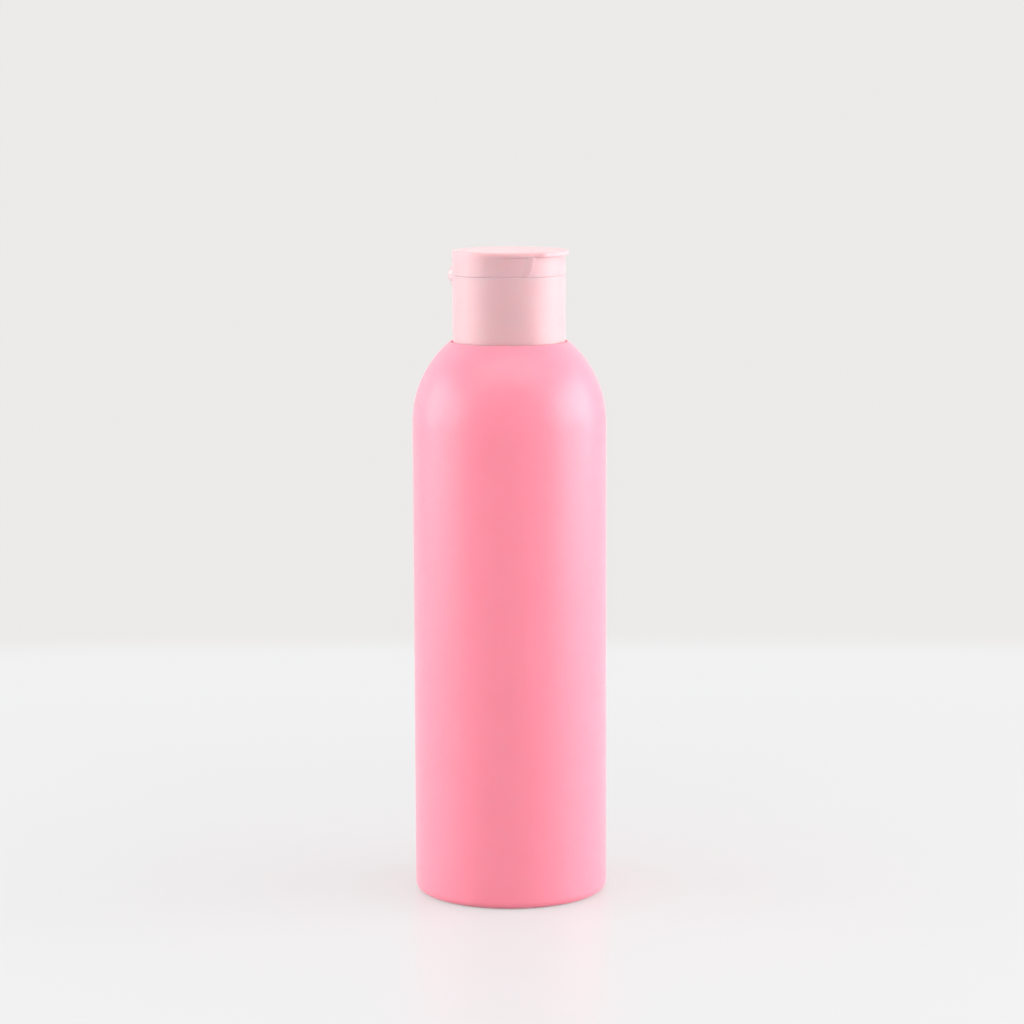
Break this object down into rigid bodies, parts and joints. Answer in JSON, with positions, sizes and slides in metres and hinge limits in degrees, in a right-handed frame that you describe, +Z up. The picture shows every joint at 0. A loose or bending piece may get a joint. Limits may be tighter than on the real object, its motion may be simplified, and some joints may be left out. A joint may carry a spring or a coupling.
{
  "type": "cosmetic bottle",
  "caption": "Round blow-moulded cosmetic bottle with a domed shoulder and a smooth flip-top screw cap, its lid on a bowed strap hinge.",
  "frame": {"origin": "centre of the ring that the bottle stands on", "axes": "+Z up the bottle's axis, +X towards the lid's thumb tab, so the hinge is at -X"},
  "size_m": [0.05, 0.05, 0.1675],
  "materials": {
    "bottle_plastic": "satin, moulded pink",
    "cap_plastic": "satin, pale pink",
    "washer_foam": "matte white foam"
  },
  "bodies": {
    "bottle": {"bottle": "bottle_plastic"},
    "washer": {"gasket": "washer_foam"},
    "cap": {"cap_base": "cap_plastic", "hinge_strap": "cap_plastic"},
    "lid": {"lid": "cap_plastic"}
  },
  "joints": [
    {"name": "cap_rise", "type": "slide", "parent": "bottle", "child": "washer", "axis": [0, 0, 1], "range_m": [0, 0.0175]},
    {"name": "cap_turn", "type": "hinge", "parent": "washer", "child": "cap", "pos_m": [0, 0, 0.15], "axis": [0, 0, 1], "range_deg": [0, 1980]},
    {"name": "lid_hinge", "type": "hinge", "parent": "cap", "child": "lid", "pos_m": [-0.0146, 0, 0.16117], "axis": [0, -1, 0], "range_deg": [0, 150], "deforming": ["hinge_strap"]}
  ],
  "couplings": [
    {"joint": "cap_rise", "follows": "cap_turn", "m_per_rad": 0.00050532}
  ]
}
